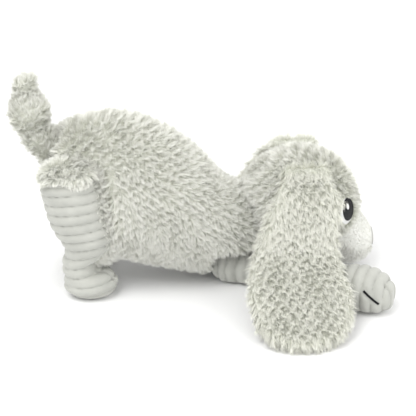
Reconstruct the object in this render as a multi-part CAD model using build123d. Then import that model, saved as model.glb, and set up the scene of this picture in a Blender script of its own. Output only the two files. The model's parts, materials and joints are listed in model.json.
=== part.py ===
"""Plush puppy in a play bow: a fur body, head, ears and tail on ribbed plush legs.

Millimetres. +X runs forward to the nose, +Y to the puppy's left and +Z up. The floor is Z = 0 and
the middle plane is Y = 0. Every fur size is the size over the pile. Each sewn piece is a skin of
one fabric, and the skins of the stuffed pieces are filled.
"""
from build123d import *

import os
from math import cos, radians, sin

# Fabric thicknesses over the pile, and the play between pieces that move on each other.
FUR = 9.0
PLUSH = 4.0
PLAY = 0.5

# Body: rings along its middle line, as (x, z, half height, half width).
BODY_RINGS = [
    (-163, 104, 15, 15),
    (-157, 105, 33, 33),
    (-142, 107, 52, 50),
    (-110, 107, 67, 64),
    (-66, 92, 68, 66),
    (-30, 71, 59, 58),
    (-2, 56, 50, 51),
]

# Neck: the body ends in a ball that the head is sewn over, and nods on.
NECK_X = 28.0
NECK_Z = 48.0
NECK_RADIUS = 46.0
NECK_TURNS = (0, 25, 50, 72, 84)
BALL_TURNS = (10, 40, 65, 82)

# Head: a skull, and a muzzle that points forward and down from it.
SKULL_X = 92.0
SKULL_Z = 73.0
SKULL_LONG = 60.0
SKULL_WIDE = 56.0
SKULL_HIGH = 58.0
MUZZLE_X = 132.0
MUZZLE_Z = 42.0
MUZZLE_LONG = 40.0
MUZZLE_WIDE = 35.0
MUZZLE_HIGH = 29.0
MUZZLE_TILT = 38.0

# White face panel, seen from the front: it widens from the blaze to the muzzle.
BLAZE_TOP_Z = 112.0
BLAZE_HALF_WIDTH = 7.0
MUZZLE_TOP_Z = 66.0
PANEL_BACK_X = 118.0
FLEW_BACK_Z = 50.0
FLEW_FRONT_Z = 24.0

# Embroidery: thread stands this proud of the fabric.
THREAD = 0.8
EYE_SIDE = 43.0
EYE_RISE = 12.0
EYE_WIDE = 16.0
EYE_TALL = 23.0
EYE_RIM = 3.0
GLINT_WIDE = 3.0
GLINT_TALL = 6.0
NOSE_WIDE = 26.0
NOSE_TALL = 17.0

# Ears: rings from the crown, over the cheek and the foreleg, and out to the floor,
# as (x, y, z, half width along x, half thickness).
EAR_HINGE_TURN = 37.0
EAR_ROOT = 7.5
EAR_RINGS = [
    (89, -60, 101, 34, 7.5),
    (81, -72, 78, 38, 8),
    (77, -80, 62, 41, 8),
    (75, -98, 47, 45, 8),
    (76, -121, 33, 49, 8),
    (77, -146, 17, 45, 8),
    (76, -163, 9, 32, 7),
    (76, -170, 6, 14, 4),
]
EAR_ROOT_X = 91.0
EAR_ROOT_HALF_WIDTH = 25.0
LINING_SHARE = 0.4
SEAM_GAP = 0.4

# Tail: a ball sewn into the rump, then rings up to the tip, as (x, z, radius).
TAIL_BALL_X = -154.0
TAIL_BALL_Z = 141.0
TAIL_BALL_RADIUS = 16.0
TAIL_ROOM = 4.5
TAIL_RINGS = [
    (-162, 151, 15),
    (-170, 169, 18.5),
    (-173, 190, 17),
    (-174, 206, 12),
    (-174, 214, 5),
]

# Hind legs: level rings from the hip to the ankle, as (x, y, z, half length, half width).
HIND_RINGS = [
    (-129, -47, 141, 9, 6),
    (-130, -46, 136, 18, 13),
    (-130, -44, 122, 22, 21),
    (-125, -43, 96, 24, 23),
    (-119, -42, 68, 24, 22),
    (-120, -41, 54, 21, 20),
    (-128, -40, 42, 16, 18),
    (-129, -40, 28, 16, 18),
    (-127, -40, 14, 14, 15),
]
HIND_PAW_X = -119.0
HIND_PAW_Y = -40.0
HIND_PAW_LONG = 26.0
HIND_PAW_WIDE = 21.0
HIND_PAW_TALL = 31.0
SOLE = 3.0
HIP_HINGE_Z = 139.0
HIND_ROOM_X = -120.5
HIND_ROOM_LONG = 53.0
HIND_ROOM_LEAN = -8.0
HIND_ROOM_Y = -19.0

# Forelegs: a ball under the chest, then rings out to the paw, as (x, y, z, radius).
SHOULDER_X = 20.0
SHOULDER_Y = -20.5
SHOULDER_RADIUS = 19.0
FORE_RINGS = [
    (30, -23, 18.5, 18.5),
    (48, -33, 18, 18),
    (76, -54, 17.5, 17.5),
    (106, -73, 18.5, 18.5),
    (130, -84, 21.5, 21.5),
    (150, -94, 21.5, 21.5),
    (163, -100, 20, 16),
    (168, -102.5, 19, 9),
]
FLOOR_PRESS = 1.0
FORE_ROOM_X = 0.5
FORE_ROOM_TOP = 39.0
PAW_RING = 5
TOE_LINE_LONG = 19.0
TOE_LINE_WIDE = 2.0
TOE_LINE_AHEAD = 5.0
TOE_LINE_RISE = 15.0
TOE_LINE_SLOPE = -38.0


def directions(points):
    """The way the middle line runs at each point, from its neighbours."""
    ways = []
    for i in range(len(points)):
        before = Vector(points[max(i - 1, 0)])
        after = Vector(points[min(i + 1, len(points) - 1)])
        ways.append((after - before).normalized())
    return ways


def tube(points, halves, across, inset=0.0, ruled=False):
    """A soft closed tube through elliptic rings. halves are (across, other way) half sizes.

    Every ring's plane holds the across direction.
    """
    faces = []
    for point, way, (half_a, half_b) in zip(points, directions(points), halves):
        side = Vector(across)
        plane = Plane(origin=point, x_dir=side, z_dir=(way - side * way.dot(side)).normalized())
        faces.append((plane * Ellipse(half_a - inset, half_b - inset)).face())
    return loft(faces, ruled=ruled)


def ball(x, y, z, radius):
    return Pos(x, y, z) * Sphere(radius)


def egg(x, y, z, long, wide, high, tilt=0.0, poles=90.0):
    """An ellipsoid. tilt turns its long axis down at the front.

    poles is how far its surface's poles are turned from upright: they stay clear of the cuts.
    """
    round_one = Rot(0, poles, 0) * Sphere(1)
    return Pos(x, y, z) * Rot(0, tilt, 0) * scale(round_one, by=(long, wide, high))


def dome(radius, turns):
    """Rings that round off a tube's end, as (distance past the ball's centre, ring radius)."""
    return [(radius * sin(radians(turn)), radius * cos(radians(turn))) for turn in turns]


def body(inset=0.0):
    """The body's outside, or the outside of what fills it when inset is the skin's thickness."""
    rings = [(x, z, high - inset, wide - inset) for x, z, high, wide in BODY_RINGS if high > inset + 5]
    for ahead, radius in dome(NECK_RADIUS - inset, NECK_TURNS):
        rings.append((NECK_X + ahead, NECK_Z, radius, radius))
    points = [(x, 0, z) for x, z, _, _ in rings]
    halves = [(wide, high) for _, _, high, wide in rings]
    return tube(points, halves, (0, 1, 0))


def skull(inset=0.0):
    return egg(SKULL_X, 0, SKULL_Z, SKULL_LONG - inset, SKULL_WIDE - inset, SKULL_HIGH - inset)


def muzzle(inset=0.0):
    sizes = (MUZZLE_LONG - inset, MUZZLE_WIDE - inset, MUZZLE_HIGH - inset)
    return egg(MUZZLE_X, 0, MUZZLE_Z, *sizes, tilt=MUZZLE_TILT)


def head(inset=0.0):
    """The head's outside, hollowed at the back for the neck ball."""
    return skull(inset) + muzzle(inset) - ball(NECK_X, 0, NECK_Z, NECK_RADIUS + PLAY + inset)


def face_region():
    """What lies behind the white face panel's outline, as a block through the front of the head."""
    half = MUZZLE_WIDE + 5
    outline = Polyline(
        (BLAZE_HALF_WIDTH, BLAZE_TOP_Z),
        (BLAZE_HALF_WIDTH + 3, MUZZLE_TOP_Z + 12),
        (half, MUZZLE_TOP_Z - 12),
        (half, 0),
        (-half, 0),
        (-half, MUZZLE_TOP_Z - 12),
        (-BLAZE_HALF_WIDTH - 3, MUZZLE_TOP_Z + 12),
        (-BLAZE_HALF_WIDTH, BLAZE_TOP_Z),
        close=True,
    )
    front = Plane(origin=(PANEL_BACK_X, 0, 0), x_dir=(0, 1, 0), z_dir=(1, 0, 0))
    return extrude(front * make_face(outline), 100)


def flew_region():
    """Everything below the crease that runs round the muzzle, over the lips."""
    side = Polyline(
        (PANEL_BACK_X, FLEW_BACK_Z),
        (MUZZLE_X + MUZZLE_LONG, FLEW_FRONT_Z),
        (MUZZLE_X + MUZZLE_LONG, -5),
        (PANEL_BACK_X, -5),
        close=True,
    )
    return extrude(Plane.XZ * make_face(side), 100, both=True)


def eye_plane():
    """A plane at the right eye, facing out of the head."""
    way = Rot(0, -EYE_RISE, -EYE_SIDE) * Pos(1, 0, 0)
    out = way.position
    return Plane(origin=(SKULL_X, 0, SKULL_Z), x_dir=(0, 0, 1), z_dir=out)


def thread_patch(plane, tall, wide, up, across, layer):
    """An oval of thread on the skull. layer counts the threads below it."""
    rod = extrude(plane * Pos(up, across) * Ellipse(tall / 2, wide / 2), 2 * SKULL_LONG)
    shell = skull(-THREAD * (layer + 1)) - skull(-THREAD * layer)
    return shell & rod


def nose():
    """An oval of thread on the front of the muzzle."""
    front = Plane(origin=(MUZZLE_X, 0, MUZZLE_Z), x_dir=(0, 1, 0), z_dir=(1, 0, -0.25))
    rod = extrude(front * Ellipse(NOSE_WIDE / 2, NOSE_TALL / 2), 2 * MUZZLE_LONG)
    return (muzzle(-THREAD) - muzzle()) & rod


def ear_hinge():
    """Where the right ear's top seam runs, just off the crown, as (y, z)."""
    out = Vector(0, -sin(radians(EAR_HINGE_TURN)), cos(radians(EAR_HINGE_TURN)))
    reach = SKULL_HIGH + EAR_ROOT + PLAY
    return out.Y * reach, SKULL_Z + out.Z * reach


def ear_layer(rings, share, outward):
    """One fabric of the ear: share is its part of the thickness, on the side away from the head or on it."""
    points, halves = [], []
    for (x, y, z, wide, thick), way in zip(rings, directions([ring[1:3] for ring in rings])):
        half = thick * share - SEAM_GAP / 2
        offset = (thick - half) * outward
        points.append((x, y + way.Y * offset, z - way.X * offset))
        halves.append((wide, half))
    return tube(points, halves, (1, 0, 0), ruled=True)


def ear_fur():
    y, z = ear_hinge()
    rings = [(EAR_ROOT_X, y, z, EAR_ROOT_HALF_WIDTH, EAR_ROOT)] + EAR_RINGS
    root = Pos(EAR_ROOT_X, y, z) * Rot(0, 90, 0) * Cylinder(EAR_ROOT, 2 * EAR_ROOT_HALF_WIDTH)
    return ear_layer(rings, 1 - LINING_SHARE, 1) + root


def ear_lining():
    return ear_layer(EAR_RINGS, LINING_SHARE, -1)


def tail(inset=0.0):
    first, second = Vector(TAIL_BALL_X, 0, TAIL_BALL_Z), Vector(TAIL_RINGS[0][0], 0, TAIL_RINGS[0][1])
    way = (second - first).normalized()
    rings = []
    for behind, radius in reversed(dome(TAIL_BALL_RADIUS - inset, BALL_TURNS)):
        rings.append((first - way * behind, radius))
    rings += [(Vector(x, 0, z), r - inset) for x, z, r in TAIL_RINGS if r > inset + 1]
    return tube([point for point, _ in rings], [(r, r) for _, r in rings], (0, 1, 0), ruled=inset > 0)


def above(height):
    """Everything above a level."""
    return Pos(0, 0, height + 250) * Box(900, 900, 500)


def hind_leg(inset=0.0):
    rings = [r for r in HIND_RINGS if min(r[3:]) > inset + 10 or not inset]
    shank = tube([r[:3] for r in rings], [r[3:] for r in rings], (1, 0, 0), inset)
    middle = HIND_PAW_TALL / 2
    sizes = (HIND_PAW_LONG - inset, HIND_PAW_WIDE - inset, middle + 1 - inset)
    paw = egg(HIND_PAW_X, HIND_PAW_Y, middle - 1, *sizes, poles=0)
    return (shank + paw) & above(inset)


def foreleg(inset=0.0):
    first, second = Vector(SHOULDER_X, SHOULDER_Y, SHOULDER_RADIUS), Vector(FORE_RINGS[0][:3])
    way = (second - first).normalized()
    rings = []
    for behind, radius in reversed(dome(SHOULDER_RADIUS - inset, BALL_TURNS)):
        rings.append((first - way * behind, radius))
    rings += [(Vector(x, y, z), r - inset) for x, y, z, r in FORE_RINGS if r > inset + 8 or not inset]
    leg = tube([point - (0, 0, FLOOR_PRESS) for point, _ in rings], [(r, r) for _, r in rings], (0, 0, 1))
    return leg & above(inset)


def hip_room():
    """The room in the body's right side that the hind leg lies in, and swings out of."""
    room = Pos(0, HIND_ROOM_Y - 50, HIP_HINGE_Z / 2 - 80) * Box(HIND_ROOM_LONG, 100, HIP_HINGE_Z + 168)
    return Pos(HIND_ROOM_X, 0, 70) * Rot(0, HIND_ROOM_LEAN, 0) * room & Pos(
        0, 0, HIP_HINGE_Z + 3 + PLAY - 250
    ) * Box(900, 900, 500)


def sewn_in(solid):
    """A piece of the body with the room cut out for the legs and the tail."""
    solid -= ball(TAIL_BALL_X, 0, TAIL_BALL_Z, TAIL_BALL_RADIUS + TAIL_ROOM)
    room = hip_room()
    solid -= room
    solid -= mirror(room, about=Plane.XZ)
    under_chest = Pos(FORE_ROOM_X + 100, 0, FORE_ROOM_TOP - 50) * Box(200, 200, 100)
    return solid - under_chest


def toe_line():
    """The stitched line between the toes, on the outer side of the right forepaw."""
    x, y, z, _ = FORE_RINGS[PAW_RING]
    before = FORE_RINGS[PAW_RING - 1]
    along = Vector(x - before[0], y - before[1], 0).normalized()
    out = Vector(along.Y, -along.X, sin(radians(TOE_LINE_RISE)))
    place = Plane(origin=(x, y, z), x_dir=along, z_dir=out) * Rot(0, 0, TOE_LINE_SLOPE)
    slab = place * Pos(TOE_LINE_AHEAD, 0, 20) * Box(TOE_LINE_LONG, TOE_LINE_WIDE, 40)
    return (foreleg(-THREAD) - foreleg()) & slab


def body_pieces():
    outside, filling = body(), body(FUR)
    return {"body_skin": sewn_in(outside - filling), "body_stuffing": sewn_in(filling)}


def head_pieces():
    outside, filling = head(), head(FUR)
    skin = outside - filling
    panel = skin & face_region()
    return {
        "head_skin": skin - face_region(),
        "head_stuffing": filling,
        "muzzle_panel": panel - flew_region(),
        "flew_panel": panel & flew_region(),
        "nose_patch": nose(),
    }


def tail_pieces():
    return {"tail_skin": tail() - tail(FUR), "tail_stuffing": tail(FUR)}


def right_side_pieces():
    """The pieces of the right side, which the left side mirrors."""
    eye = eye_plane()
    leg, leg_filling = hind_leg(), hind_leg(PLUSH)
    arm, arm_filling = foreleg(), foreleg(PLUSH)
    return {
        "eye_rim": thread_patch(eye, EYE_TALL + EYE_RIM, EYE_WIDE + EYE_RIM, -EYE_RIM / 2, EYE_RIM / 2, 0),
        "eye_pupil": thread_patch(eye, EYE_TALL, EYE_WIDE, 0, 0, 1),
        "eye_glint": thread_patch(eye, GLINT_TALL, GLINT_WIDE, EYE_TALL / 6, EYE_WIDE / 8, 2),
        "ear_fur": ear_fur(),
        "ear_lining": ear_lining(),
        "hind_leg_skin": (leg & above(SOLE)) - leg_filling,
        "hind_leg_stuffing": leg_filling & above(SOLE),
        "hind_paw_sole": leg - above(SOLE),
        "foreleg_skin": arm - arm_filling,
        "foreleg_stuffing": arm_filling,
        "toe_line": toe_line(),
    }


def main():
    pieces = {**body_pieces(), **head_pieces(), **tail_pieces()}
    for name, solid in right_side_pieces().items():
        pieces[f"{name}_right"] = solid
        pieces[f"{name}_left"] = mirror(solid, about=Plane.XZ)

    back = pieces["tail_skin"].bounding_box().min.X
    front = pieces["foreleg_skin_right"].bounding_box().max.X
    middle = (back + front) / 2
    print("moved back by", middle)

    os.makedirs("parts", exist_ok=True)
    for name, solid in pieces.items():
        export_step(Pos(-middle, 0, 0) * solid, f"parts/{name}.step")


main()
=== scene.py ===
"""Looks of the plush puppy: fur strands on soft skins, ribbed plush legs and stitched eyes.

A base skin stands for each stuffed piece. Fur pieces ride on the same
body as their skin. The lengths among the constants are in millimetres.
"""

import json
import math
from collections import namedtuple

import bpy
import numpy as np
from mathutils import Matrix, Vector
from mathutils.bvhtree import BVHTree
from mathutils.kdtree import KDTree


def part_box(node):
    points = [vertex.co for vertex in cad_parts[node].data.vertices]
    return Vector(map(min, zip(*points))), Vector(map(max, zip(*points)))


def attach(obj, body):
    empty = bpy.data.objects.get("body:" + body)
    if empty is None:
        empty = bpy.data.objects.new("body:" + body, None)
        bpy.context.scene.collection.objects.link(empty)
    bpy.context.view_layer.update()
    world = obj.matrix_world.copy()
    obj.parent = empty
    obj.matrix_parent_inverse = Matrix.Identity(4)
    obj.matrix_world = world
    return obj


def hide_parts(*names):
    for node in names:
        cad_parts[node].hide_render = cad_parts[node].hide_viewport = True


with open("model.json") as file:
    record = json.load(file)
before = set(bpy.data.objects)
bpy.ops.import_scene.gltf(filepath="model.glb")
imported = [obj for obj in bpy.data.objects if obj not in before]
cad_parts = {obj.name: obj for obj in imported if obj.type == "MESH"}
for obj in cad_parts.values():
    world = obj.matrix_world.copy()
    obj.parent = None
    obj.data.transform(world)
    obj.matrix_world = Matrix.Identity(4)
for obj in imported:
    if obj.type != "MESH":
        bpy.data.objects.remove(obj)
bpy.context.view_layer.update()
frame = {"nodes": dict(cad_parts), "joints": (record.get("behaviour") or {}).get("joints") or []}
MM = 0.001
RANDOM = np.random.default_rng(7)
SIDES = {"left": 1, "right": -1}

# How long each pile is, and how far below the pile's outside its base skin lies.
BODY_PILE = 9.0
EAR_PILE = 10.5
TAIL_PILE = 8.0
MUZZLE_PILE = 1.6
FLEW_PILE = 4.5
FUR_DEPTH = 4.0
TAIL_DEPTH = 4.0
EAR_DEPTH = 2.6
WHITE_DEPTH = 1.2

# Voxel size of each base skin, and the rounds of smoothing that soften its edges.
BODY_SKIN = (3.0, 14)
TAIL_SKIN = (2.0, 10)
HEAD_SKIN = (2.0, 8)
EAR_SKIN = (2.0, 22)
LEG_SKIN = (1.4, 5)

# Strands: where along its length each has its points, the share of its width that is gone at the
# tip, and how it arches and curls. Nothing grows where less than BARE of the pile is left.
STRAND_STEPS = np.array([0.0, 0.35, 0.7, 1.0])
TAPER = 0.75
ARCH = 0.22
CURL = 0.10
CURL_HALF_WAVES = 1.6
BARE = 0.05
FLOOR_GAP = 0.3

# The haunch under each thigh: shares of the thigh's box, from its middle.
HAUNCH_AHEAD = 0.10
HAUNCH_IN = 0.66
HAUNCH_UP = 0.12
HAUNCH_RADII = (0.74, 0.66, 0.46)
# The rump behind the thighs lies deeper and has less pile, so that the thighs are its outside.
RUMP_X = (-135, -110)
RUMP_TOP = (122, 138)
RUMP_SIDE = (12, 30)
RUMP_DEPTH = 8
RUMP_THINNING = 0.5

# The tail's root, filled out where it meets the rump.
TAIL_ROOT_SHIFT = np.array((-10, 0, 12))
TAIL_ROOT_RADIUS = 17

# Head: how the fur turns into the white panels, and how cloth and pile change near the threads.
PANEL_EDGE = (-3, 3)
EYE_CLEAR = (1, 9)
NOSE_CLEAR = (0, 4)
DEPTH_AT_THREADS = 0.1
EYE_PILE_CLEAR = (0.3, 4)
PILE_AT_EYES = 0.25
EYE_EDGE = 0.4
PANEL_GAP = 1.0

# Ears: the root seam sits this far down in the head's fur, fading out away from the hinge.
ROOT_SINK = 5.0
ROOT_REACH = (9, 26)
ROOT_THINNING = 0.1

# Legs: rounded ribs, toe creases, and the rump's fur lapping over the thigh's top.
RIB_PITCH = 10.0
RIB_DEPTH = 3.4
RIB_RISE = 1.2
RIB_WANDER = 0.12
HIND_RIBS_RUN = (-0.14, 0, 0.99)
FORELEG_RUNS = (0.87, 0.49)  # forward and outward
THIGH_BACK = 11.0  # how much further back the thigh's cloth stands than its solid
THIGH_BACK_HEIGHTS = (45, 75)
SOLE_EDGE = (2, 6)
TOE_LINE_CLEAR = (0.5, 4)
CREASES = (-6.5, 6.5)
CREASE_DEPTH = 3.2
CREASE_WIDTH = 1.7
CREASE_STARTS = (2, 14)
CREASE_TOP = (30, 40)
PAW_FROM_TIP = 24
PAW_FROM_SIDE = 22
LAP_REACH = (-17, -12)  # from the thigh's top
LAP_WANDER = 2


# ---------------------------------------------------------------- materials
def node_material(name, roughness, sheen=0.0):
    """A Principled material, its node tree and its shader."""
    material = bpy.data.materials.new(name)
    material.use_nodes = True
    tree = material.node_tree
    shader = tree.nodes["Principled BSDF"]
    shader.inputs["Roughness"].default_value = roughness
    shader.inputs["Sheen Weight"].default_value = sheen
    shader.inputs["Specular IOR Level"].default_value = 0.2
    return material, tree, shader


def ramp(tree, source, stops):
    """Colours along a value. stops are (place, colour)."""
    node = tree.nodes.new("ShaderNodeValToRGB")
    while len(node.color_ramp.elements) < len(stops):
        node.color_ramp.elements.new(0.5)
    for element, (place, colour) in zip(node.color_ramp.elements, stops):
        element.position = place
        element.color = (*colour, 1)
    tree.links.new(source, node.inputs["Fac"])
    return node.outputs["Color"]


def own_coordinates(tree):
    return tree.nodes.new("ShaderNodeTexCoord").outputs["Object"]


def noise(tree, scale, detail):
    """Noise over the object's own coordinates, with scale in features a metre."""
    node = tree.nodes.new("ShaderNodeTexNoise")
    node.inputs["Scale"].default_value = scale
    node.inputs["Detail"].default_value = detail
    tree.links.new(own_coordinates(tree), node.inputs["Vector"])
    return node.outputs["Fac"]


def add_bumps(tree, shader, height, strength, depth):
    node = tree.nodes.new("ShaderNodeBump")
    node.inputs["Strength"].default_value = strength
    node.inputs["Distance"].default_value = depth * MM
    tree.links.new(height, node.inputs["Height"])
    tree.links.new(node.outputs["Normal"], shader.inputs["Normal"])


def strand_material(name, root, tip):
    """Fur: darker at the root as painted shade deep in the pile, pale at the tip, and no two strands quite
    alike.
    """
    material, tree, shader = node_material(name, 0.8, sheen=0.15)
    uv = tree.nodes.new("ShaderNodeUVMap")
    uv.uv_map = "OFBake"
    split = tree.nodes.new("ShaderNodeSeparateXYZ")
    tree.links.new(uv.outputs["UV"], split.inputs["Vector"])
    middle = [0.35 * a + 0.65 * b for a, b in zip(root, tip)]
    # The root colour is painted shade between the strands, fading out towards the pale tip.
    along = ramp(tree, split.outputs["X"], [(0.0, root), (0.45, middle), (1.0, tip)])
    tint = ramp(tree, split.outputs["Y"], [(0.0, (0.88, 0.88, 0.84)), (1.0, (1.0, 1.0, 1.0))])
    mix = tree.nodes.new("ShaderNodeMix")
    mix.data_type = "RGBA"
    mix.blend_type = "MULTIPLY"
    mix.inputs["Factor"].default_value = 1.0
    tree.links.new(along, mix.inputs["A"])
    tree.links.new(tint, mix.inputs["B"])
    tree.links.new(mix.outputs["Result"], shader.inputs["Base Color"])
    return material


def cloth_material(name, dark, light):
    """Short plush: soft mottling and a fine nap."""
    material, tree, shader = node_material(name, 0.9, sheen=0.3)
    mottling = ramp(tree, noise(tree, 60.0, 3.0), [(0.3, dark), (0.7, light)])
    tree.links.new(mottling, shader.inputs["Base Color"])
    add_bumps(tree, shader, noise(tree, 900.0, 4.0), strength=0.25, depth=0.6)
    return material


def thread_material(name, colour, sheen=0.2):
    """Satin stitch: fine threads side by side, with painted shade in the grooves between them."""
    material, tree, shader = node_material(name, 0.4, sheen)
    wave = tree.nodes.new("ShaderNodeTexWave")
    wave.bands_direction = "Z"
    wave.inputs["Scale"].default_value = 480.0
    wave.inputs["Distortion"].default_value = 1.5
    tree.links.new(own_coordinates(tree), wave.inputs["Vector"])
    threads = wave.outputs["Fac"]
    # The grooves between the threads get a darker copy of the thread colour as painted shade.
    groove_shade = [0.75 * c for c in colour]
    tree.links.new(ramp(tree, threads, [(0.0, groove_shade), (0.4, colour)]), shader.inputs["Base Color"])
    add_bumps(tree, shader, threads, strength=0.5, depth=0.2)
    return material


# Each fur's first colour is its root, darkened as painted shade between the strands; the second is its tip.
BODY_FUR = strand_material("body_fur", (0.78, 0.79, 0.72), (0.98, 0.98, 0.95))
EAR_FUR = strand_material("ear_fur", (0.72, 0.73, 0.65), (0.97, 0.97, 0.92))
WHITE_FUR = strand_material("white_fur", (0.86, 0.86, 0.83), (0.96, 0.96, 0.94))
BACKING = cloth_material("fur_backing", (0.68, 0.69, 0.62), (0.76, 0.77, 0.70))
RIBBED = cloth_material("ribbed_plush", (0.42, 0.425, 0.39), (0.49, 0.495, 0.455))
WHITE_PLUSH = cloth_material("white_plush", (0.84, 0.85, 0.81), (0.91, 0.91, 0.88))
BLACK_THREAD = thread_material("black_thread", (0.008, 0.008, 0.010), sheen=0.0)
WHITE_THREAD = thread_material("white_thread", (0.88, 0.88, 0.87))
NOSE_THREAD = thread_material("nose_thread", (0.60, 0.59, 0.56))

# A coat: strands a square millimetre, their length, how far the comb lays them over, one lock's
# width, one strand's width, how much a lock's tips draw together, and how ruffled the coat is.
Coat = namedtuple(
    "Coat", "material slot density pile lean lock width clumping ruffle", defaults=(2.4, 0.34, 0.4, 0.5)
)
BODY_COAT = Coat(BODY_FUR, "body_fur", 2.0, BODY_PILE, 0.45)
TAIL_COAT = Coat(BODY_FUR, "body_fur", 2.2, TAIL_PILE, 0.9)
HEAD_COAT = Coat(BODY_FUR, "body_fur", 2.2, BODY_PILE, 0.5)
LAP_COAT = Coat(BODY_FUR, "body_fur", 2.2, BODY_PILE, 0.9)
EAR_COAT = Coat(EAR_FUR, "ear_fur", 2.0, EAR_PILE, 1.1)
MUZZLE_NAP = Coat(WHITE_FUR, "white_plush", 2.0, MUZZLE_PILE, 0.6, lock=1.5, width=0.3, ruffle=0.15)
FLEW_FUZZ = Coat(WHITE_FUR, "white_fleece", 1.8, FLEW_PILE, 0.6, lock=2.5, width=0.32)


# ---------------------------------------------------------------- skins
def mesh_object(name, co, faces, material):
    """A smooth-shaded object in the scene."""
    mesh = bpy.data.meshes.new(name)
    mesh.from_pydata([tuple(p) for p in co], [], [tuple(int(i) for i in f) for f in faces])
    mesh.polygons.foreach_set("use_smooth", [True] * len(mesh.polygons))
    mesh.materials.append(material)
    made = bpy.data.objects.new(name, mesh)
    bpy.context.scene.collection.objects.link(made)
    return made


def arrays(mesh):
    """A mesh's points and triangles."""
    mesh.calc_loop_triangles()
    co = np.empty(len(mesh.vertices) * 3)
    mesh.vertices.foreach_get("co", co)
    triangles = np.empty(len(mesh.loop_triangles) * 3, np.int32)
    mesh.loop_triangles.foreach_get("vertices", triangles)
    return co.reshape(-1, 3), triangles.reshape(-1, 3)


def ball_mesh(centre, radii):
    """A closed ellipsoid of points and triangles."""
    steps = 24
    rows, points, faces = steps // 2, [], []
    for i in range(1, rows):
        for j in range(steps):
            a, b = math.pi * i / rows, 2 * math.pi * j / steps
            points.append((math.sin(a) * math.cos(b), math.sin(a) * math.sin(b), math.cos(a)))
    points += [(0, 0, 1), (0, 0, -1)]
    top, bottom = len(points) - 2, len(points) - 1
    for j in range(steps):
        k = (j + 1) % steps
        faces.append((top, j, k))
        faces.append((bottom, (rows - 2) * steps + k, (rows - 2) * steps + j))
        for i in range(rows - 2):
            p, q = i * steps, (i + 1) * steps
            faces.append((p + j, q + j, q + k))
            faces.append((p + j, q + k, p + k))
    return np.array(points) * radii + centre, np.array(faces)


def largest_piece(co, faces):
    """Only the connected piece with the most points, which is the outside."""
    label = np.arange(len(co))
    while True:
        low = label[faces].min(axis=1)
        new = label.copy()
        np.minimum.at(new, faces.ravel(), np.repeat(low, faces.shape[1]))
        new = new[new]
        if (new == label).all():
            break
        label = new
    names, sizes = np.unique(label, return_counts=True)
    kept = label == names[sizes.argmax()]
    index = np.cumsum(kept) - 1
    return co[kept], index[faces[kept[faces[:, 0]]]]


def skin(nodes, voxel_and_rounds, fillers=()):
    """The outside of some CAD nodes together, as an even mesh with softened edges."""
    voxel, rounds = voxel_and_rounds
    parts = [arrays(frame["nodes"][node].data) for node in nodes] + list(fillers)
    co, faces, start = [], [], 0
    for points, triangles in parts:
        co.append(points)
        faces.append(triangles + start)
        start += len(points)
    rough = mesh_object("rough", np.concatenate(co), np.concatenate(faces), BACKING)
    remesh = rough.modifiers.new("remesh", "REMESH")
    remesh.mode = "VOXEL"
    remesh.voxel_size = voxel * MM
    smooth = rough.modifiers.new("smooth", "SMOOTH")
    smooth.factor = 0.5
    smooth.iterations = rounds
    made = rough.evaluated_get(bpy.context.evaluated_depsgraph_get()).to_mesh()
    result = largest_piece(*arrays(made))
    bpy.data.objects.remove(rough)
    return result


def unit(vectors, least=1e-9):
    """Each vector at length one. One shorter than least is only divided by least."""
    return vectors / np.maximum(np.linalg.norm(vectors, axis=1, keepdims=True), least)


def face_crosses(co, faces):
    """Each triangle's normal, twice its area long."""
    return np.cross(co[faces[:, 1]] - co[faces[:, 0]], co[faces[:, 2]] - co[faces[:, 0]])


def normals_of(co, faces):
    cross = face_crosses(co, faces)
    total = np.zeros_like(co)
    for corner in range(3):
        np.add.at(total, faces[:, corner], cross)
    return unit(total, 1e-12)


def distances(points, node):
    """How far each point is from a CAD node's surface."""
    tree = BVHTree.FromPolygons(*[list(map(tuple, a)) for a in arrays(frame["nodes"][node].data)])
    return np.array([tree.find_nearest(Vector(p))[3] for p in points])


def rise(limits, values, least=0.0):
    """From least below the first limit to 1 above the second, smoothly. The limits are in millimetres."""
    low, high = (limit * MM for limit in limits)
    t = np.clip((values - low) / (high - low), 0, 1)
    return least + (1 - least) * (t * t * (3 - 2 * t))


# ---------------------------------------------------------------- fur
def wave_field(points, length, seed):
    """A smooth vector field that turns over about this length in metres, as ruffled fur does."""
    random = np.random.default_rng(seed)
    field = np.zeros_like(points)
    for _ in range(5):
        way = random.normal(size=3)
        way *= 2 * math.pi / (length * np.linalg.norm(way))
        phase = random.uniform(0, 2 * math.pi)
        field += np.sin(points @ way + phase)[:, None] * random.normal(size=3)
    return field / 2.2


def sample(co, faces, count, weight):
    """Random points on a skin, as the corners of the face that each is on and their shares in it."""
    area = np.linalg.norm(face_crosses(co, faces), axis=1) / 2 * weight[faces].mean(axis=1)
    total = np.cumsum(area)
    picks = np.searchsorted(total, RANDOM.uniform(0, total[-1], count))
    picks = np.minimum(picks, len(faces) - 1)
    u, v = RANDOM.uniform(size=(2, count))
    flip = u + v > 1
    u[flip], v[flip] = 1 - u[flip], 1 - v[flip]
    return faces[picks], np.stack([1 - u - v, u, v], axis=1)


def combed(root, out, comb, coat):
    """The way that each strand runs: out of the skin, laid over by the comb and ruffled."""
    straight = comb / np.linalg.norm(comb)
    along = straight - out * (out @ straight)[:, None]
    along /= np.maximum(np.linalg.norm(along, axis=1, keepdims=True), 0.35)
    ruffles = wave_field(root, 0.030, 3) * 0.35 + wave_field(root, 0.007, 5)
    flow = along * coat.lean + ruffles * coat.ruffle
    flow -= out * (flow * out).sum(axis=1, keepdims=True)
    return unit(out + flow)


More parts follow.
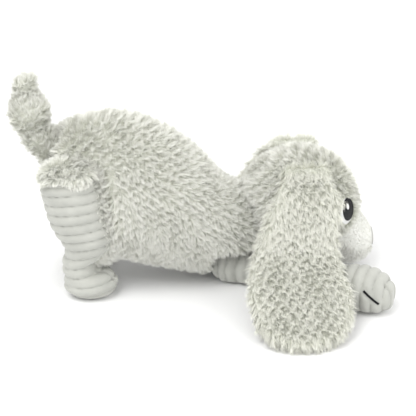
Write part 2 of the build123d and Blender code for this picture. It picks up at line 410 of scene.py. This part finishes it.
def gathered(root, tip, square_mm, coat):
    """The tips, drawn towards the tip in the middle of their own lock."""
    count = len(root)
    centres = RANDOM.choice(count, max(1, int(square_mm / coat.lock**2)), replace=False)
    tree = KDTree(len(centres))
    for i, centre in enumerate(centres):
        tree.insert(root[centre], i)
    tree.balance()
    nearest = centres[[tree.find(p)[1] for p in root]]
    pull = coat.clumping * RANDOM.uniform(0.5, 1.2, count)[:, None]
    return tip + (tip[nearest] - tip) * np.clip(pull, 0, 0.9)


def ribbons(root, tip, out, way, length, width):
    """Each strand's two edges, point by point: arched, curled and narrower to the tip."""
    count = len(root)
    bend = unit(np.cross(out, way + RANDOM.normal(size=(count, 3)) * 0.3))
    curl = (length * RANDOM.normal(0, CURL, count))[:, None] * bend
    side = unit(np.cross(tip - root, out + RANDOM.normal(0, 0.35, (count, 3))))
    points = np.empty((count, len(STRAND_STEPS), 2, 3))
    for k, t in enumerate(STRAND_STEPS):
        line = root + (tip - root) * t + out * (length * ARCH * t * (1 - t) * 2)[:, None]
        line += curl * math.sin(math.pi * CURL_HALF_WAVES * t)
        half = side * (width * MM / 2 * (1 - TAPER * t))
        points[:, k, 0], points[:, k, 1] = line - half, line + half
    points[..., 2] = np.maximum(points[..., 2], FLOOR_GAP * MM)
    return points


def fur(name, body, coat, surface, comb, pieces=1):
    """Strands over a skin, in several pieces so that none is too heavy.

    surface is the skin's points, faces, normals and each point's share of the pile.
    """
    co, faces, normal, share = surface
    area = np.linalg.norm(face_crosses(co, faces), axis=1) / 2
    square_mm = (area * (share[faces].mean(axis=1) > BARE)).sum() / MM**2
    count = int(square_mm * coat.density)
    corners, shares = sample(co, faces, count, (share > BARE).astype(float))
    root = (co[corners] * shares[:, :, None]).sum(axis=1)
    out = unit((normal[corners] * shares[:, :, None]).sum(axis=1))
    pile = (share[corners] * shares).sum(axis=1) * coat.pile * MM
    length = pile * RANDOM.uniform(0.75, 1.1, count)
    way = combed(root, out, np.array(comb), coat)
    tip = gathered(root, root + way * length[:, None], square_mm, coat)
    points = ribbons(root, tip, out, way, length, coat.width)
    order = np.argsort(RANDOM.uniform(size=count)) if pieces > 1 else np.arange(count)
    for piece, chosen in enumerate(np.array_split(order, pieces)):
        label = name if pieces == 1 else f"{name}_{piece + 1}"
        strands(label, points[chosen], body, coat)


def strands(name, points, body, coat):
    """One mesh of strands, each a ribbon of a few quads.

    Its UV runs along the strand, and across the tints.
    """
    count, steps = points.shape[:2]
    mesh = bpy.data.meshes.new(name)
    mesh.vertices.add(count * steps * 2)
    mesh.vertices.foreach_set("co", points.ravel().astype(np.float32))
    first = np.arange(count)[:, None] * steps * 2 + np.arange(steps - 1)[None, :] * 2
    quads = np.stack([first, first + 1, first + 3, first + 2], axis=-1).reshape(-1, 4)
    mesh.loops.add(quads.size)
    mesh.loops.foreach_set("vertex_index", quads.ravel().astype(np.int32))
    mesh.polygons.add(len(quads))
    mesh.polygons.foreach_set("loop_start", (np.arange(len(quads)) * 4).astype(np.int32))
    mesh.polygons.foreach_set("use_smooth", np.ones(len(quads), bool))
    mesh.update(calc_edges=True)
    uv = mesh.uv_layers.new(name="OFBake")
    per_point = np.empty((count, steps, 2, 2))
    per_point[..., 0] = (np.arange(steps) / (steps - 1) * 0.98 + 0.01)[None, :, None]
    per_point[..., 1] = RANDOM.uniform(0.02, 0.98, count)[:, None, None]
    uv.data.foreach_set("uv", per_point.reshape(-1, 2)[quads.ravel()].ravel().astype(np.float32))
    mesh.materials.append(coat.material)
    made = bpy.data.objects.new(name, mesh)
    bpy.context.scene.collection.objects.link(made)
    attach(made, body)


def sewn(name, body, co, faces, material, nodes):
    """A stuffed skin: it stands for its CAD nodes and moves with their body."""
    made = mesh_object(name, co, faces, material)
    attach(made, body)
    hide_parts(*nodes)


# ---------------------------------------------------------------- the puppy
def middle_of(node):
    low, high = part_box(node)
    return (np.array(low) + np.array(high)) / 2


def size_of(node):
    low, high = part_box(node)
    return np.array(high) - np.array(low)


def joint_place(name):
    return np.array(next(joint for joint in frame["joints"] if joint["name"] == name)["pos_m"])


def haunch(side):
    """A mound under the thigh, so that the rump's fur meets the thigh's edge."""
    thigh = f"hind_leg_skin_{side}"
    centre, size = middle_of(thigh), size_of(thigh)
    centre[0] += size[0] * HAUNCH_AHEAD
    centre[1] *= HAUNCH_IN
    centre[2] += size[2] * HAUNCH_UP
    return ball_mesh(centre, size * HAUNCH_RADII)


def make_body():
    nodes = ["body_skin", "body_stuffing"]
    co, faces = skin(nodes, BODY_SKIN, [haunch(side) for side in SIDES])
    normal = normals_of(co, faces)
    behind = (1 - rise(RUMP_X, co[:, 0])) * (1 - rise(RUMP_TOP, co[:, 2])) * rise(RUMP_SIDE, np.abs(co[:, 1]))
    co = co - normal * ((FUR_DEPTH + RUMP_DEPTH * behind) * MM)[:, None]
    sewn("body_backing", "body", co, faces, BACKING, nodes)
    surface = (co, faces, normal, 1 - RUMP_THINNING * behind)
    fur("body_fur", "body", BODY_COAT, surface, comb=(0.35, 0, -0.6), pieces=7)


def make_tail():
    nodes = ["tail_skin", "tail_stuffing"]
    root = ball_mesh(joint_place("tail_wag") + TAIL_ROOT_SHIFT * MM, (TAIL_ROOT_RADIUS * MM,) * 3)
    co, faces = skin(nodes, TAIL_SKIN, [root])
    normal = normals_of(co, faces)
    co = co - normal * TAIL_DEPTH * MM
    sewn("tail_backing", "tail", co, faces, BACKING, nodes)
    fur("tail_fur", "tail", TAIL_COAT, (co, faces, normal, np.ones(len(co))), comb=(-0.1, 0, 1.0))


def make_head():
    """The head's fur and its white panels. The cloth rises to the threads at the eyes and the nose."""
    nodes = ["head_skin", "head_stuffing", "muzzle_panel", "flew_panel"]
    co, faces = skin(nodes, HEAD_SKIN)
    normal = normals_of(co, faces)
    to_skin, to_panel, to_flew = (distances(co, n) for n in ("head_skin", "muzzle_panel", "flew_panel"))
    white = rise(PANEL_EDGE, to_skin - np.minimum(to_panel, to_flew))
    eyes = np.minimum(distances(co, "eye_rim_left"), distances(co, "eye_rim_right"))
    nose = distances(co, "nose_patch")
    depth = (FUR_DEPTH * (1 - white) + WHITE_DEPTH * white) * rise(EYE_CLEAR, eyes, DEPTH_AT_THREADS)
    depth *= rise(NOSE_CLEAR, nose, DEPTH_AT_THREADS)
    co = co - normal * depth[:, None] * MM

    is_white = white[faces].mean(axis=1) > 0.5
    is_flew = to_flew[faces].mean(axis=1) < to_panel[faces].mean(axis=1)
    parts = (
        ("head_backing", ~is_white, BACKING, "body_fur", ["head_skin", "head_stuffing"]),
        ("muzzle_plush", is_white & ~is_flew, WHITE_PLUSH, "white_plush", ["muzzle_panel"]),
        ("flew_plush", is_white & is_flew, WHITE_PLUSH, "white_fleece", ["flew_panel"]),
    )
    for name, chosen, material, slot, replaced in parts:
        used, index = np.unique(faces[chosen], return_inverse=True)
        sewn(name, "head", co[used], index.reshape(-1, 3), material, replaced)

    furry = (1 - white) * rise(EYE_PILE_CLEAR, eyes, PILE_AT_EYES) * (eyes > EYE_EDGE * MM)
    open_white = white * ((nose > PANEL_GAP * MM) & (eyes > PANEL_GAP * MM))
    muzzle, flew = open_white * (to_flew >= to_panel), open_white * (to_flew < to_panel)
    fur("head_fur", "head", HEAD_COAT, (co, faces, normal, furry), comb=(-0.7, 0, -0.5), pieces=3)
    fur("muzzle_nap", "head", MUZZLE_NAP, (co, faces, normal, muzzle), comb=(0.2, 0, -1.0))
    fur("flew_fuzz", "head", FLEW_FUZZ, (co, faces, normal, flew), comb=(-0.6, 0, -0.8))


def make_ear(side):
    nodes = [f"ear_fur_{side}", f"ear_lining_{side}"]
    co, faces = skin(nodes, EAR_SKIN)
    hinge = joint_place(f"ear_lift_{side}")
    root = 1 - rise(ROOT_REACH, np.hypot(co[:, 1] - hinge[1], co[:, 2] - hinge[2]))
    co = co + unit(middle_of("head_skin") - co) * (ROOT_SINK * MM * root)[:, None]
    normal = normals_of(co, faces)
    co = co - normal * EAR_DEPTH * MM
    sewn(f"ear_{side}_backing", f"ear_{side}", co, faces, BACKING, nodes)
    surface = (co, faces, normal, 1 - ROOT_THINNING * root)
    fur(f"ear_{side}_fur", f"ear_{side}", EAR_COAT, surface, comb=(0, 0.7 * SIDES[side], -0.9), pieces=3)


def ribs(co, normal, start, run):
    """Rounded ribs across a leg, with narrow grooves between them. run is the way that the ribs follow."""
    place = ((co - start) @ run) / (RIB_PITCH * MM)
    place += RIB_WANDER * wave_field(co, 0.06, 11)[:, 0]
    across = 2 * (place - np.floor(place)) - 1
    height = RIB_RISE - RIB_DEPTH * (1 - np.sqrt(np.clip(1 - across**2, 0, 1)))
    return co + normal * (height * MM)[:, None]


def thigh_pushed_back(co):
    low, high = co.min(axis=0), co.max(axis=0)
    middle, half = (low[0] + high[0]) / 2, (high[0] - low[0]) / 2
    behind = np.clip((middle - co[:, 0]) / half, 0, 1)
    co[:, 0] -= THIGH_BACK * MM * rise(THIGH_BACK_HEIGHTS, co[:, 2]) * behind
    return co


def ribbed_leg(name, body, nodes, co, faces, start, run, paw, forward):
    """A ribbed leg with two creases between its toes. paw is the middle of the paw, forward its way."""
    normal = normals_of(co, faces)
    relief = rise(SOLE_EDGE, co[:, 2])
    for side in SIDES:
        relief = relief * rise(TOE_LINE_CLEAR, distances(co, f"toe_line_{side}"))
    co = co + (ribs(co, normal, start, run) - co) * relief[:, None]
    ahead = (co - paw) @ forward
    across = (co - paw) @ np.cross((0, 0, 1), forward)
    front = rise(CREASE_STARTS, ahead) * (1 - rise(CREASE_TOP, co[:, 2])) * relief
    for place in CREASES:
        groove = CREASE_DEPTH * MM * np.exp(-(((across / MM - place) / CREASE_WIDTH) ** 2)) * front
        co = co - normal * groove[:, None]
    sewn(name, body, co, faces, RIBBED, nodes)
    return co


def make_hind_leg(side):
    """A thigh, shank and paw. The rump's fur laps over the leg's top and moves with it."""
    name = f"hind_leg_{side}"
    nodes = [f"hind_leg_skin_{side}", f"hind_leg_stuffing_{side}", f"hind_paw_sole_{side}"]
    low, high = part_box(nodes[0])
    co, faces = skin(nodes, LEG_SKIN)
    co = thigh_pushed_back(co)
    paw, forward = middle_of(nodes[2]), np.array((1.0, 0, 0))
    co = ribbed_leg(name, name, nodes, co, faces, np.array(low), np.array(HIND_RIBS_RUN), paw, forward)
    height = co[:, 2] + LAP_WANDER * MM * wave_field(co, 0.02, 2)[:, 0]
    lap = rise(LAP_REACH, height - high.z)
    fur(f"{name}_lap", name, LAP_COAT, (co, faces, normals_of(co, faces), lap), comb=(0.2, 0, -1.0))


def make_foreleg(side):
    nodes = [f"foreleg_skin_{side}", f"foreleg_stuffing_{side}"]
    low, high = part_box(nodes[0])
    way = SIDES[side]
    forward = np.array((FORELEG_RUNS[0], FORELEG_RUNS[1] * way, 0))
    outside = high.y if way > 0 else low.y
    paw = np.array((high.x - PAW_FROM_TIP * MM, outside - PAW_FROM_SIDE * way * MM, 0))
    co, faces = skin(nodes, LEG_SKIN)
    ribbed_leg(f"foreleg_{side}", "body", nodes, co, faces, np.array((low.x, 0, 0)), forward, paw, forward)


def dress_threads():
    """The stitched pieces keep their CAD shapes and get their threads."""
    threads = {"nose_patch": NOSE_THREAD}
    for side in SIDES:
        threads[f"eye_rim_{side}"] = WHITE_THREAD
        threads[f"eye_pupil_{side}"] = BLACK_THREAD
        threads[f"eye_glint_{side}"] = WHITE_THREAD
        threads[f"toe_line_{side}"] = BLACK_THREAD
    for node, material in threads.items():
        materials = frame["nodes"][node].data.materials
        materials.clear()
        materials.append(material)


# ---------------------------------------------------------------- the stage
def area_light(name, place, size, power):
    """A soft square light that faces the puppy."""
    lamp = bpy.data.lights.new(name, "AREA")
    lamp.size = size
    lamp.energy = power
    made = bpy.data.objects.new(name, lamp)
    made.location = place
    made.rotation_euler = (Vector((0, 0, 0.05)) - Vector(place)).to_track_quat("-Z", "Y").to_euler()
    bpy.context.scene.collection.objects.link(made)


def make_floor():
    paint, _, shader = node_material("floor", 0.9)
    shader.inputs["Base Color"].default_value = (0.93, 0.93, 0.93, 1)
    half = 60
    corners = [(-half, -half, 0), (half, -half, 0), (half, half, 0), (-half, half, 0)]
    mesh_object("floor", corners, [(0, 1, 2, 3)], paint)


def make_lights():
    world = bpy.data.worlds.new("world")
    world.use_nodes = True
    background = world.node_tree.nodes["Background"]
    background.inputs["Color"].default_value = (1.0, 1.0, 1.0, 1)
    background.inputs["Strength"].default_value = 1.0
    bpy.context.scene.world = world
    area_light("key", (-0.6, -0.7, 1.5), size=0.9, power=14)
    area_light("fill", (1.0, -0.8, 0.9), size=1.0, power=5)


def make_camera(azimuth, elevation, distance, target):
    """Looks at the target. Azimuth 0 looks along +Y, and elevation is above the horizon."""
    camera = bpy.data.objects.new("camera", bpy.data.cameras.new("camera"))
    bpy.context.scene.collection.objects.link(camera)
    bpy.context.scene.camera = camera
    camera.data.lens = 112.5
    camera.data.sensor_width = 36
    a, e = math.radians(azimuth), math.radians(elevation)
    back = Vector((math.sin(a) * math.cos(e), -math.cos(a) * math.cos(e), math.sin(e)))
    camera.location = Vector(target) + back * distance
    camera.rotation_euler = (-back).to_track_quat("-Z", "Y").to_euler()


make_body()
make_tail()
make_head()
make_ear("left")
make_ear("right")
for leg_side in SIDES:
    make_hind_leg(leg_side)
    make_foreleg(leg_side)
dress_threads()
make_floor()
make_lights()
make_camera(azimuth=-5, elevation=25, distance=1.3, target=(0.0098, 0, 0.0703))
bpy.context.scene.view_settings.view_transform = "Standard"
